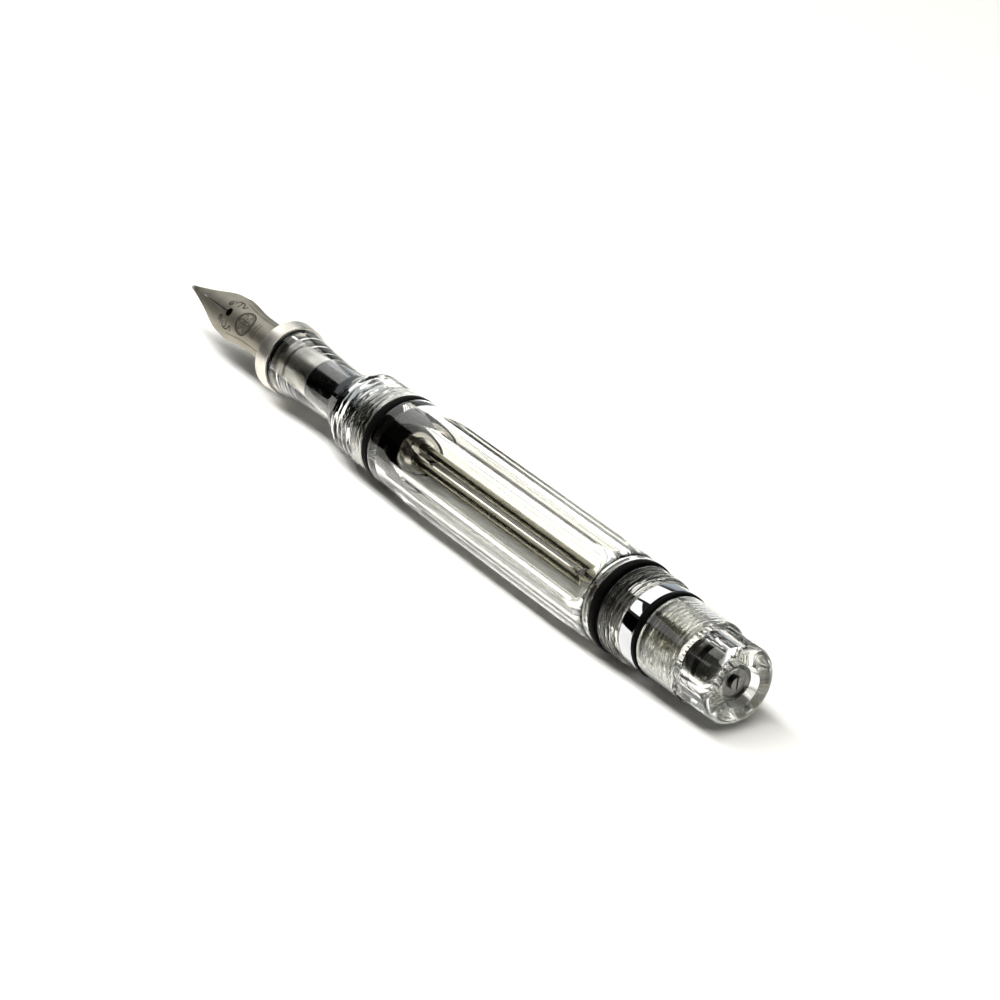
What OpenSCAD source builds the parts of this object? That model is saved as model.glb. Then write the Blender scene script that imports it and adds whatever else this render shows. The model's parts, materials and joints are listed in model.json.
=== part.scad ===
// Clear plunger-filling fountain pen, cap off, lying on one flat of its barrel.
// The pen's axis runs along X with the nib towards -X and the turning knob towards +X.

/* [Lengths along the pen] */
// Nib showing in front of the trim ring
nib_exposed = 25.1; // [23:0.1:26]
// Steel trim ring at the mouth of the grip
trim_len = 2.7; // [2.4:0.1:3]
// Black gasket behind the trim ring
gasket_len = 0.4; // [0.3:0.1:0.5]
// Grip section from the gasket to the front O-ring
grip_len = 26.5; // [26.2:0.1:27.2]
// Front O-ring, between grip and barrel
front_oring_w = 1.7; // [1.4:0.1:1.8]
// Barrel from the front O-ring to the rear O-ring
barrel_len = 50.8; // [46:0.2:54]
// Rear O-ring, between barrel and rear coupling
rear_oring_w = 1.3; // [1.1:0.1:1.5]
// Posting thread on the rear coupling
rear_thread_len = 4.4; // [4:0.1:4.8]
// Chrome ring in front of the knob
chrome_len = 2.5; // [2.2:0.1:2.8]
// O-ring that the closed knob presses on
knob_oring_w = 1; // [0.8:0.1:1.2]
// Clear knob, the blind cap
knob_len = 13.6; // [13:0.1:15]

/* [Radii] */
// Half the distance across opposite flats of the barrel
barrel_flat_r = 6.42; // [6.4:0.01:6.5]
// Round front end of the barrel
barrel_front_r = 6.34; // [6.2:0.01:6.36]
// Bore that the plunger seal runs in
bore_r = 4.6; // [4.4:0.05:4.7]
// Largest radius of the cap thread and the posting thread
thread_crest_r = 6.12; // [6.05:0.01:6.15]
// Both barrel O-rings
barrel_oring_r = 6.36; // [6.3:0.01:6.38]
// Narrowest place of the grip
grip_waist_r = 3.95; // [3.9:0.01:4.2]
// Front edge of the trim ring
trim_r = 5.24; // [5.1:0.01:5.4]
// Chrome ring
chrome_r = 5.75; // [5.7:0.01:5.8]
// Round, threaded zone of the knob
knob_r = 5.6; // [5.5:0.01:5.65]
// Plunger rod
rod_r = 1.3; // [1.2:0.05:1.35]

/* [Nib] */
// Half width of the nib at its shoulders
nib_shoulder_w = 3.34; // [3.1:0.02:3.4]
// Distance from the tip to the shoulders
nib_shoulder_s = 12.6; // [11.4:0.1:13.2]
// Height of the tip over the pen's axis
nib_tip_h = 1.05; // [0.9:0.05:1.2]
// Thickness of the nib's sheet
nib_sheet = 0.28; // [0.24:0.02:0.32]
// Breather hole
breather_r = 0.6; // [0.4:0.05:0.65]
// Turn of the nib about the pen's axis, measured from straight up
nib_roll = 48; // [0:1:90]

/* [Fits] */
// Gap round a piece that screws or slides
running_gap = 0.05; // [0.03:0.01:0.08]
// Gap round a piece that is fixed in place
fixed_gap = 0.02; // [0.01:0.01:0.03]

/* [Hidden] */
$fn = 96;

// Stations along the pen, measured from the nib's tip
s_trim = nib_exposed;
s_gasket = s_trim + trim_len;
s_grip = s_gasket + gasket_len;
s_front_oring = s_grip + grip_len;
s_barrel = s_front_oring + front_oring_w;
s_rear_oring = s_barrel + barrel_len;
s_rear_thread = s_rear_oring + rear_oring_w;
s_chrome = s_rear_thread + rear_thread_len;
s_knob_oring = s_chrome + chrome_len;
s_knob = s_knob_oring + knob_oring_w;
pen_length = s_knob + knob_len;

sides = 10;
corner_ratio = 1 / cos(180 / sides);
barrel_corner_r = barrel_flat_r * corner_ratio;

// Sleeve, collar, nib and feed nest inside the grip's bore
grip_bore_r = 3.4;
sleeve_r = grip_bore_r - fixed_gap;
collar_inner_r = 3.02;
nib_outer_r = collar_inner_r - fixed_gap;
feed_r = nib_outer_r - nib_sheet - 3 * fixed_gap;
s_sleeve = s_grip + 7.9;
s_sleeve_end = s_front_oring - 5;
s_flange = s_sleeve_end - 3.4;
flange_r = 4.85;
s_nib_end = s_sleeve - 0.5;
s_feed_end = s_sleeve + 9;

// Threaded tenon of the barrel, through the front O-ring into the grip
tenon_r = 5.2;
s_tenon = s_front_oring - 4.3;

// Plunger head at the front end of its stroke
s_seal = s_barrel + 0.6;
seal_len = 3.2;
seal_r = bore_r - 0.03;
s_nut = s_seal + seal_len + 0.45;
nut_len = 0.8;
s_rod = s_seal + 0.1;

// Rear coupling: short spigot in the barrel, posting thread, neck and knob thread
rear_socket_r = 5.66;
s_spigot = s_rear_oring - 1.2;
neck_r = 4.95;
knob_thread_r = 4.58;
knob_thread_len = 6.4;
guide_r = 2.9;
bush_r = 4.9;
s_guide = s_spigot + fixed_gap;
s_bush_end = s_chrome - 1;
s_gland = s_guide + 8.4;

// Inside of the knob
knob_cavity_r = knob_thread_r + running_gap;
knob_round_len = 7.1;
insert_r = 2.6;
s_insert = s_knob + knob_thread_len + 0.5;
s_disc = pen_length - 1.7;
knob_flat_r = 5.18;

// Turns the local Z axis along the pen, with local X pointing up before the roll
module along_pen(roll = 0) {
  translate([-pen_length / 2, 0, barrel_flat_r])
    rotate([0, 90, 0])
      rotate([0, 0, 180 + roll])
        children();
}

// A solid of revolution from points of radius and station
module turned(points, roll = 0) {
  along_pen(roll) rotate_extrude() polygon(points);
}

// A round tube or disc from one station to another
module ring(s0, s1, outer, inner) {
  turned([[inner, s0], [outer, s0], [outer, s1], [inner, s1]]);
}

// A prism with the barrel's number of sides and a flat at the bottom
module flats(s0, s1, flat_r) {
  along_pen(180 / sides)
    translate([0, 0, s0])
      cylinder(h = s1 - s0, r = flat_r * corner_ratio, $fn = sides);
}

// Points up the flank of a row of thread ridges
function ridge_points(s0, s1, count, root, crest) =
  let (pitch = (s1 - s0) / count)
  [
    for (i = [0 : count - 1])
      for (p = [[root, 0.06], [crest, 0.34], [crest, 0.56], [root, 0.84]])
        [p[0], s0 + (i + p[1]) * pitch]
  ];

// Points along a quarter-round shoulder, from angle a0 to a1 about a centre
function arc_points(centre_r, centre_s, radius, a0, a1, steps = 6) =
  [
    for (i = [0 : steps])
      let (a = a0 + (a1 - a0) * i / steps)
      [centre_r + radius * cos(a), centre_s + radius * sin(a)]
  ];

// A smooth rise between two radii along a stretch
function ease(t) = t * t * (3 - 2 * t);
function rise_points(r0, r1, s0, s1, steps = 8) =
  [
    for (i = [0 : steps])
      let (t = i / steps)
      [r0 + (r1 - r0) * ease(t), s0 + (s1 - s0) * t]
  ];

// An O-ring of nearly square section with rounded outer edges
module oring(s0, width, outer, inner) {
  edge = min(width * 0.45, 0.6);
  turned(concat(
    [[inner, s0]],
    arc_points(outer - edge, s0 + edge, edge, -90, 0),
    arc_points(outer - edge, s0 + width - edge, edge, 0, 90),
    [[inner, s0 + width]]
  ));
}

// ---- Nib ----

nib_back_w = 2.84;
s_breather = nib_shoulder_s - 0.15;
slit_half = 0.04;
nib_start = 0.55;
s_shank = 19;

// Height of the nib's ridge line over the axis
function nib_top(s) =
  s >= s_shank ? nib_outer_r : nib_tip_h + (nib_outer_r - nib_tip_h) * pow(sin(90 * s / s_shank), 1.15);

// Radius of the nib's cross curve
function nib_curve(s) =
  s >= s_shank ? nib_outer_r : nib_outer_r + 1.3 * pow(sin(180 * min(s, s_shank) / s_shank), 2);

// Half width of the tines, as a share from 0 at the tip to 1 at the shoulders: hollow, then rounded
nib_tip_w = 0.3;
function tine_share(t) = t - 0.028 * sin(180 * t) + 0.125 * pow(sin(180 * pow(t, 2.4)), 2);

// Half width of the nib: tapered tines to the shoulders, then in to the shank
function nib_half(s) =
  s < nib_shoulder_s
    ? nib_tip_w + (nib_shoulder_w - nib_tip_w) * tine_share((s - nib_start) / (nib_shoulder_s - nib_start))
    : nib_back_w + (nib_shoulder_w - nib_back_w) * (1 - ease(min(1, (s - nib_shoulder_s) / 6)));

// Half width of the slit and the breather hole
function nib_gap(s) =
  s <= s_breather - breather_r ? slit_half
    : s < s_breather + breather_r ? max(slit_half, sqrt(pow(breather_r, 2) - pow(s - s_breather, 2)))
    : 0;

// Angle round the cross curve at which the nib is w wide
function nib_angle(s, w) = asin(min(0.999, w / nib_curve(s)));

function nib_point(s, a, depth) =
  let (r = nib_curve(s) - depth)
  [nib_top(s) - nib_curve(s) + r * cos(a), r * sin(a), s];

// Stations: finer round the breather hole
nib_stations = concat(
  [for (i = [0 : 13]) nib_start + (s_breather - breather_r - nib_start) * i / 14],
  [for (i = [0 : 8]) s_breather - breather_r * cos(180 * i / 8)],
  [for (i = [1 : 14]) s_breather + breather_r + (s_nib_end - s_breather - breather_r) * i / 14]
);
nib_cols = 7;

// One column of a half, from the slit at 0 to the edge at 1, on the left (-1) or the right (1)
function nib_row(s, side, depth) =
  let (a0 = nib_angle(s, nib_gap(s)), a1 = nib_angle(s, nib_half(s)))
  [for (j = [0 : nib_cols]) nib_point(s, side * (a0 + (a1 - a0) * j / nib_cols), depth)];

module nib() {
  n = len(nib_stations);
  row = nib_cols + 1;
  points = concat(
    [for (s = nib_stations) each nib_row(s, 1, 0)],
    [for (s = nib_stations) each nib_row(s, 1, nib_sheet)],
    [for (s = nib_stations) each nib_row(s, -1, 0)],
    [for (s = nib_stations) each nib_row(s, -1, nib_sheet)]
  );
  block = n * row;
  closed = [for (i = [0 : n - 1]) if (nib_stations[i] <= s_breather + breather_r) i];
  last_open = closed[len(closed) - 1];
  function at(layer, i, j) = layer * block + i * row + j;
  faces = [
    for (h = [0, 1])
      let (t = 2 * h, b = 2 * h + 1)
      each concat(
        [for (i = [0 : n - 2]) for (j = [0 : nib_cols - 1])
          [at(t, i, j), at(t, i + 1, j), at(t, i + 1, j + 1), at(t, i, j + 1)]],
        [for (i = [0 : n - 2]) for (j = [0 : nib_cols - 1])
          [at(b, i, j), at(b, i, j + 1), at(b, i + 1, j + 1), at(b, i + 1, j)]],
        [for (i = [0 : n - 2])
          [at(t, i, nib_cols), at(t, i + 1, nib_cols), at(b, i + 1, nib_cols), at(b, i, nib_cols)]],
        [for (i = [0 : last_open - 1]) [at(t, i, 0), at(b, i, 0), at(b, i + 1, 0), at(t, i + 1, 0)]],
        [for (j = [0 : nib_cols - 1]) [at(t, 0, j), at(t, 0, j + 1), at(b, 0, j + 1), at(b, 0, j)]],
        [for (j = [0 : nib_cols - 1])
          [at(t, n - 1, j), at(b, n - 1, j), at(b, n - 1, j + 1), at(t, n - 1, j + 1)]]
      )
  ];
  turned_faces = [for (i = [0 : len(faces) - 1])
    i < len(faces) / 2 ? faces[i] : [faces[i][3], faces[i][2], faces[i][1], faces[i][0]]];
  color("silver") along_pen(nib_roll) polyhedron(points, turned_faces, convexity = 6);
}

// Hard bead welded on the point of the nib
tipping_r = 0.42;
module nib_tipping() {
  color("gainsboro")
    along_pen(nib_roll)
      translate([nib_tip_h - nib_sheet / 2, 0, tipping_r])
        sphere(r = tipping_r);
}

// Ink feed: a finned core under the nib that runs back into the sleeve
feed_tip_s = 3.6;
fin_pitch = 0.75;
fin_slot = 0.3;
fin_count = 16;
s_fins = 9.6;
module feed() {
  color([0.08, 0.08, 0.09])
    along_pen(nib_roll)
      difference() {
        intersection() {
          translate([0, 0, feed_tip_s]) cylinder(h = s_feed_end - feed_tip_s, r = feed_r);
          // Side outline, with the top line under the nib
          rotate([90, 0, 0])
            translate([0, 0, -4])
              linear_extrude(8)
                polygon([
                  [0.35, feed_tip_s], [0.7, s_fins + 0.8], [1.75, s_shank], [feed_r + 0.2, s_shank + 4],
                  [feed_r + 0.2, s_feed_end], [-feed_r - 0.2, s_feed_end], [-feed_r - 0.2, s_fins + 2.8],
                  [-1.6, s_fins - 0.7], [-0.35, feed_tip_s]
                ]);
          // Top outline, narrow at the point
          rotate([0, 90, 0])
            rotate([0, 0, 90])
              translate([0, 0, -4])
                linear_extrude(8)
                  polygon([
                    [-0.45, feed_tip_s], [0.45, feed_tip_s], [1.7, s_fins - 0.2], [2.4, s_shank - 1],
                    [4, s_shank + 3], [4, s_feed_end], [-4, s_feed_end], [-4, s_shank + 3],
                    [-2.4, s_shank - 1], [-1.7, s_fins - 0.2]
                  ]);
        }
        for (i = [0 : fin_count - 1])
          translate([-4.2, -4, s_fins + i * fin_pitch])
            cube([3.4, 8, fin_slot]);
      }
}

// Steel collar that clamps the nib on the feed
module nib_collar() {
  color("silver")
    turned([
      [collar_inner_r, s_grip + 0.5], [sleeve_r, s_grip + 0.5], [sleeve_r, s_grip + 2.2],
      [sleeve_r - 0.18, s_grip + 2.4], [sleeve_r - 0.18, s_grip + 3.2], [sleeve_r, s_grip + 3.4],
      [sleeve_r, s_sleeve], [collar_inner_r, s_sleeve]
    ]);
}

// Black sleeve that carries the feed, with a wide flange at its back
module inner_sleeve() {
  sleeve_bore_r = feed_r + fixed_gap;
  color([0.07, 0.07, 0.08])
    turned([
      [sleeve_bore_r, s_sleeve], [sleeve_r, s_sleeve], [sleeve_r, s_flange],
      [flange_r, s_flange], [flange_r, s_sleeve_end], [1.6, s_sleeve_end],
      [1.6, s_feed_end + 1], [sleeve_bore_r, s_feed_end + 1]
    ]);
}

// ---- Grip ----

nose_r = 4.1;
s_nose = s_trim + 0.8;
module trim_ring() {
  color("silver")
    turned([
      [nose_r - 0.5, s_trim], [trim_r - 0.35, s_trim], [trim_r, s_trim + 0.3],
      [trim_r - 0.16, s_gasket], [nose_r + fixed_gap, s_gasket], [nose_r + fixed_gap, s_nose],
      [nose_r - 0.5, s_nose]
    ]);
}

module trim_gasket() {
  color([0.06, 0.06, 0.06]) ring(s_gasket, s_grip, 4.72, nose_r + fixed_gap);
}

// Clear grip: concave hold, flare, cap thread and plain collar, with a socket for the barrel
s_flare = s_grip + 14.2;
s_cap_thread = s_grip + 18.2;
s_collar = s_front_oring - 2.4;
collar_r = 6.2;
module grip_section() {
  socket_r = tenon_r + running_gap;
  waist = [
    for (i = [0 : 10])
      let (t = i / 10)
      [grip_waist_r + (4.84 - grip_waist_r) * pow(1 - t, 2), s_grip + t * (s_flare - s_grip)]
  ];
  color([0.86, 0.9, 0.9, 0.4])
    turned(concat(
      [[grip_bore_r, s_nose + fixed_gap], [nose_r, s_nose + fixed_gap], [nose_r, s_grip]],
      waist,
      [[4.7, s_flare + 1.3], [5.05, s_flare + 2.6]],
      [[thread_crest_r - 0.45, s_cap_thread]],
      ridge_points(s_cap_thread, s_collar, 5, thread_crest_r - 0.4, thread_crest_r),
      [[collar_r, s_collar], [collar_r, s_front_oring]],
      [
        [socket_r, s_front_oring], [socket_r, s_tenon - 0.1], [flange_r + fixed_gap, s_tenon - 0.1],
        [flange_r + fixed_gap, s_flange - fixed_gap], [grip_bore_r, s_flange - fixed_gap]
      ]
    ));
}

module front_oring() {
  color([0.05, 0.05, 0.05])
    oring(s_front_oring + 0.03, front_oring_w - 0.06, barrel_oring_r, tenon_r + 0.03);
}

// ---- Barrel ----

// Clear barrel: threaded tenon, round front, long flats, curved shoulder and a thin rear lip
module barrel() {
  front_rise = 12;
  rear_fall = 5.2;
  lip_len = 1;
  lip_r = 6.26;
  s_lip = s_rear_oring - lip_len;
  swell_r = barrel_corner_r + 0.01;
  fall = [
    for (i = [0 : 8])
      let (t = i / 8)
      [lip_r - 0.25 + (swell_r - lip_r + 0.25) * sqrt(1 - t * t), s_lip - 0.5 - rear_fall + rear_fall * t]
  ];
  color([0.9, 0.93, 0.92, 0.3])
    intersection() {
      turned(concat(
        [[bore_r, s_tenon], [tenon_r - 0.25, s_tenon]],
        ridge_points(s_tenon + 0.2, s_front_oring - 0.5, 5, tenon_r - 0.22, tenon_r),
        [[tenon_r, s_front_oring - 0.2], [tenon_r, s_barrel]],
        [[barrel_front_r - 0.15, s_barrel], [barrel_front_r, s_barrel + 0.3]],
        rise_points(barrel_front_r, swell_r, s_barrel + 0.8, s_barrel + front_rise),
        fall,
        [
          [lip_r - 0.25, s_lip], [lip_r, s_lip + 0.15], [lip_r, s_rear_oring],
          [rear_socket_r, s_rear_oring], [rear_socket_r, s_spigot], [bore_r, s_spigot]
        ]
      ));
      flats(s_tenon - 1, s_rear_oring + 1, barrel_flat_r);
    }
}

// ---- Plunger ----

// Rubber seal with two lips, bored to turn on the rod
module plunger_seal() {
  color([0.07, 0.07, 0.08])
    turned([
      [rod_r + running_gap, s_seal], [3.9, s_seal], [seal_r, s_seal + 0.35], [seal_r, s_seal + 0.95],
      [4.15, s_seal + 1.25], [4.15, s_seal + 1.95], [seal_r, s_seal + 2.3], [seal_r, s_seal + 2.85],
      [4.2, s_seal + seal_len], [rod_r + running_gap, s_seal + seal_len]
    ]);
}

module seal_washer() {
  color("silver") ring(s_seal + seal_len + 0.03, s_nut, 3.3, rod_r + fixed_gap);
}

// Cone-shaped steel nut behind the washer
module plunger_nut() {
  color("silver")
    turned([
      [rod_r + fixed_gap, s_nut], [2.3, s_nut], [2.2, s_nut + 0.25], [1.6, s_nut + nut_len],
      [rod_r + fixed_gap, s_nut + nut_len]
    ]);
}

// Slotted screw that closes the front end of the rod
module seal_screw() {
  head_r = 2.1;
  head_len = 0.9;
  color("silver")
    along_pen()
      difference() {
        translate([0, 0, s_seal - 0.03 - head_len]) cylinder(h = head_len, r = head_r);
        translate([-head_r, -0.25, s_seal - 0.03 - head_len - 0.1]) cube([2 * head_r, 0.5, 0.5]);
      }
}

// Steel rod with two fine grooves behind the nut
module plunger_rod() {
  s_groove = s_nut + nut_len + 0.15;
  groove = [for (k = [0, 1]) each [[rod_r, 0], [rod_r - 0.12, 0.06], [rod_r - 0.12, 0.24], [rod_r, 0.3]] + [
    for (q = [0 : 3]) [0, s_groove + k * 0.75]]];
  color([0.55, 0.55, 0.53])
    turned(concat(
      [[0, s_rod], [rod_r, s_rod]],
      groove,
      [[rod_r, s_insert + 2.5], [0, s_insert + 2.5]]
    ));
}

// ---- Rear end ----

module rear_oring() {
  color([0.05, 0.05, 0.05])
    oring(s_rear_oring + fixed_gap, rear_oring_w - 2 * fixed_gap, barrel_oring_r, 5.42);
}

// Clear coupling: spigot, O-ring seat, posting thread, neck for the chrome ring, knob thread
module rear_coupling() {
  spigot_r = rear_socket_r - fixed_gap;
  seat_r = 5.4;
  s_stub = s_knob_oring;
  s_stub_end = s_knob + knob_thread_len;
  color([0.86, 0.9, 0.9, 0.4])
    turned(concat(
      [[bush_r + fixed_gap, s_spigot + fixed_gap], [spigot_r - 0.1, s_spigot + fixed_gap]],
      [[spigot_r, s_spigot + 0.15], [spigot_r, s_rear_oring], [seat_r, s_rear_oring], [seat_r, s_rear_thread]],
      [[thread_crest_r - 0.4, s_rear_thread]],
      ridge_points(s_rear_thread, s_chrome - 0.2, 5, thread_crest_r - 0.4, thread_crest_r),
      [[thread_crest_r - 0.45, s_chrome - 0.1], [neck_r, s_chrome - 0.1], [neck_r, s_stub]],
      [[knob_thread_r - 0.3, s_stub]],
      ridge_points(s_stub + 0.9, s_stub_end, 7, knob_thread_r - 0.3, knob_thread_r),
      [
        [knob_thread_r - 0.4, s_stub_end], [rod_r + 0.6, s_stub_end], [rod_r + 0.6, s_gland + 2.1],
        [guide_r + fixed_gap, s_gland + 2.1], [guide_r + fixed_gap, s_bush_end + fixed_gap],
        [bush_r + fixed_gap, s_bush_end + fixed_gap]
      ]
    ));
}

// Stepped bush that guides the rod, with a pocket for the packing at its back
packing_r = 2.1;
packing_len = 2.4;
module rod_guide() {
  color([0.3, 0.3, 0.3])
    turned([
      [rod_r + running_gap, s_guide], [bush_r - 0.2, s_guide], [bush_r, s_guide + 0.2],
      [bush_r, s_bush_end], [guide_r, s_bush_end], [guide_r, s_gland],
      [packing_r + fixed_gap, s_gland], [packing_r + fixed_gap, s_gland - packing_len],
      [rod_r + running_gap, s_gland - packing_len]
    ]);
}

// Two rod O-rings, side by side
module rod_packing() {
  one = (packing_len - 3 * fixed_gap) / 2;
  color([0.05, 0.05, 0.05])
    for (k = [0, 1])
      oring(s_gland - packing_len + fixed_gap + k * (one + fixed_gap), one, packing_r, rod_r + 0.02);
}

// Nut that closes the packing pocket
module gland_nut() {
  color([0.7, 0.68, 0.6])
    along_pen()
      difference() {
        translate([0, 0, s_gland + fixed_gap]) cylinder(h = 2, r = guide_r);
        translate([0, 0, s_gland - 1]) cylinder(h = 4, r = rod_r + running_gap);
        translate([-guide_r, -0.4, s_gland + 1.4]) cube([2 * guide_r, 0.8, 1]);
      }
}

module chrome_ring() {
  edge = 0.12;
  inner = neck_r + fixed_gap;
  color([0.85, 0.86, 0.88])
    turned([
      [inner, s_chrome], [chrome_r - edge, s_chrome], [chrome_r, s_chrome + edge],
      [chrome_r, s_knob_oring - edge], [chrome_r - edge, s_knob_oring], [inner, s_knob_oring]
    ]);
}

module knob_oring() {
  color([0.05, 0.05, 0.05])
    oring(s_knob_oring + fixed_gap, knob_oring_w - 0.1, chrome_r + 0.04, knob_thread_r + 0.12);
}

// Clear knob: round threaded zone, ten flats, deep rounded end rim and a round recess
module knob() {
  round_r = knob_r;
  s_flats = s_knob + knob_round_len;
  end_r = 5.3;
  rim = 1.15;
  difference() {
    color([0.9, 0.93, 0.92, 0.35])
      union() {
        turned([
          [0, s_knob], [round_r - 0.12, s_knob], [round_r, s_knob + 0.12],
          [round_r, s_flats - 0.15], [round_r - 0.15, s_flats], [0, s_flats]
        ]);
        intersection() {
          turned(concat(
            [[0, s_flats - 0.1], [round_r - 0.15, s_flats - 0.1]],
            arc_points(end_r - rim, pen_length - rim, rim, 5, 90),
            [[0, pen_length]]
          ));
          flats(s_flats - 1, pen_length + 1, knob_flat_r);
        }
      }
    turned([
      [0, s_knob - 1], [knob_cavity_r, s_knob - 1], [knob_cavity_r, s_knob + knob_thread_len + 0.3],
      [insert_r + fixed_gap, s_knob + knob_thread_len + 0.3], [insert_r + fixed_gap, s_disc],
      [0, s_disc]
    ]);
    turned([[0, s_disc - 0.1], [2.45, s_disc - 0.1], [2.75, pen_length + 0.1], [0, pen_length + 0.1]]);
  }
}

// Steel insert that fixes the rod in the knob, with a groove for its O-ring
s_band = s_knob + 8.4;
band_len = 0.9;
module knob_insert() {
  color([0.3, 0.3, 0.3])
    turned([
      [0, s_insert + 2.55], [rod_r + fixed_gap, s_insert + 2.55], [rod_r + fixed_gap, s_insert],
      [insert_r, s_insert], [insert_r, s_band], [insert_r - 0.6, s_band],
      [insert_r - 0.6, s_band + band_len], [insert_r, s_band + band_len],
      [insert_r, s_disc - 0.05], [0, s_disc - 0.05]
    ]);
}

module insert_oring() {
  color([0.04, 0.04, 0.04])
    oring(s_band + fixed_gap, band_len - 2 * fixed_gap, insert_r, insert_r - 0.58);
}

// Dished disc in the end recess
module knob_disc() {
  color([0.3, 0.3, 0.3])
    turned([
      [0.9, s_disc], [2.4, s_disc], [2.4, s_disc + 0.5], [2.1, s_disc + 0.5], [1.8, s_disc + 0.3],
      [0.9, s_disc + 0.3]
    ]);
}

// Slotted screw in the middle of the disc
module rod_end_screw() {
  color([0.3, 0.3, 0.3])
    along_pen()
      difference() {
        translate([0, 0, s_disc]) cylinder(h = 0.9, r = 0.85);
        translate([-1, -0.12, s_disc + 0.65]) cube([2, 0.24, 1]);
      }
}

nib();
nib_tipping();
feed();
nib_collar();
inner_sleeve();
trim_ring();
trim_gasket();
grip_section();
front_oring();
barrel();
plunger_seal();
seal_washer();
seal_screw();
plunger_nut();
plunger_rod();
rear_oring();
rear_coupling();
rod_guide();
rod_packing();
gland_nut();
chrome_ring();
knob_oring();
knob();
knob_insert();
insert_oring();
knob_disc();
rod_end_screw();
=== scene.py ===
"""Looks of the clear plunger-filling fountain pen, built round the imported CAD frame.

Lengths inside the shape functions are millimetres: a station is the distance from the nib's tip along
the pen's axis, and an angle runs round the axis from straight up towards -Y.
"""
import json
import math

import bmesh
import bpy
import numpy as np
from mathutils import Matrix, Vector

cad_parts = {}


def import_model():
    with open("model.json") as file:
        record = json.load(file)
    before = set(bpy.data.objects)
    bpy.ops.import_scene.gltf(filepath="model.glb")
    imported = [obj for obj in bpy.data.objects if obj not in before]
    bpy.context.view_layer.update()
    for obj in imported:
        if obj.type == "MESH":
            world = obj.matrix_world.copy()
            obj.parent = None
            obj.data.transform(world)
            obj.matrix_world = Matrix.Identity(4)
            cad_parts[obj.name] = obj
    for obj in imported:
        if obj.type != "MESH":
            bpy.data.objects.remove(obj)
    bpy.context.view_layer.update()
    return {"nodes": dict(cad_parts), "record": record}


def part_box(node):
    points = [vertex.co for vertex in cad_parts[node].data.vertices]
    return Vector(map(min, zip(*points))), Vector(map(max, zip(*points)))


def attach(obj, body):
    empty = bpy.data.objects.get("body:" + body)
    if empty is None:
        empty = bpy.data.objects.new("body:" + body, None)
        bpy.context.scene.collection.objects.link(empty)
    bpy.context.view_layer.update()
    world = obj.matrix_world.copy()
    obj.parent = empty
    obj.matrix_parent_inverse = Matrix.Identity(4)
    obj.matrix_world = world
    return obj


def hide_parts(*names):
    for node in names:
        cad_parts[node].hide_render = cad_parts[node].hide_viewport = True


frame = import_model()

MM = 0.001
NODES = frame["nodes"]
BODIES = frame["record"]["behaviour"]["bodies"]
BODY_OF = {node: body for body, nodes in BODIES.items() for node in nodes}
SLOT_OF = {name: node.data.materials[0].name for name, node in NODES.items()}
TIP_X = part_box("nib_tipping")[0].x
AXIS_Z = (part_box("chrome_ring")[0].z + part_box("chrome_ring")[1].z) / 2
# Points round a turned piece, and flats round the barrel and the knob
SEGMENTS = 240
SIDES = 10
# Corners sharper than this many degrees stay sharp; the flats of the pen meet at 36
SHARP_DEGREES = 38
FLATS_SHARP_DEGREES = 12
# Millimetres that count as nothing
TINY = 1e-6
# Share of a profile's side that a rounding may take, so that two roundings never meet
MOST_ROUNDING = 0.49
# Shares of a thread's pitch: where its ridge starts to rise and to fall, and how long each flank is
RIDGE_RISE = 0.06
RIDGE_FALL = 0.54
RIDGE_FLANK = 0.3


def span(node):
    """First and last station of a CAD node."""
    low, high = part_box(node)
    return (low.x - TIP_X) / MM, (high.x - TIP_X) / MM


def reach(node):
    """Largest radius of a CAD node across Y."""
    low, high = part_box(node)
    return (high.y - low.y) / 2 / MM


# ---------------------------------------------------------------- profiles

ANGLES = np.arange(SEGMENTS) * 2 * math.pi / SEGMENTS
# Angle from the middle of the nearest flat, with a flat straight down
FROM_FLAT = (ANGLES + math.pi / SIDES) % (2 * math.pi / SIDES) - math.pi / SIDES


def ease(t):
    """Smooth step from 0 to 1."""
    t = np.clip(t, 0.0, 1.0)
    return t * t * (3 - 2 * t)


def rounded(corners, steps=4):
    """Profile points from (station, radius, rounding) corners, each rounding drawn as an arc."""
    points = []
    count = len(corners)
    for i, (s, r, rounding) in enumerate(corners):
        here = Vector((s, r))
        if rounding == 0:
            points.append((s, r))
            continue
        back = Vector(corners[i - 1][:2]) - here
        ahead = Vector(corners[(i + 1) % count][:2]) - here
        half = back.angle(ahead) / 2
        cut = min(rounding / math.tan(half), MOST_ROUNDING * back.length, MOST_ROUNDING * ahead.length)
        back.normalize()
        ahead.normalize()
        centre = here + (back + ahead).normalized() * (cut / math.cos(half))
        start = here + back * cut - centre
        end = here + ahead * cut - centre
        turn = start.angle_signed(end)
        for k in range(steps + 1):
            p = centre + Matrix.Rotation(-turn * k / steps, 2) @ start
            points.append((p.x, p.y))
    return points


def stretch(s0, s1, radius, steps):
    """Profile points between two stations; radius is a function of the share of the way travelled."""
    return [(s0 + (s1 - s0) * i / steps, radius(i / steps)) for i in range(steps + 1)]


def helix(s0, s1, turns, root, crest, rows_per_turn=14, fade=0.35):
    """Rows of a helical thread ridge between two stations; the ridge fades in and out at its ends."""
    pitch = (s1 - s0) / turns
    rows = []
    count = int(turns * rows_per_turn)
    for i in range(count + 1):
        s = s0 + (s1 - s0) * i / count
        phase = ((s - s0) / pitch - ANGLES / (2 * math.pi)) % 1.0
        ridge = ease((phase - RIDGE_RISE) / RIDGE_FLANK) * (1 - ease((phase - RIDGE_FALL) / RIDGE_FLANK))
        ends = min(1.0, (s - s0) / (fade * pitch), (s1 - s) / (fade * pitch))
        rows.append((s, root + (crest - root) * ridge * max(0.0, ends)))
    return rows


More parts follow.
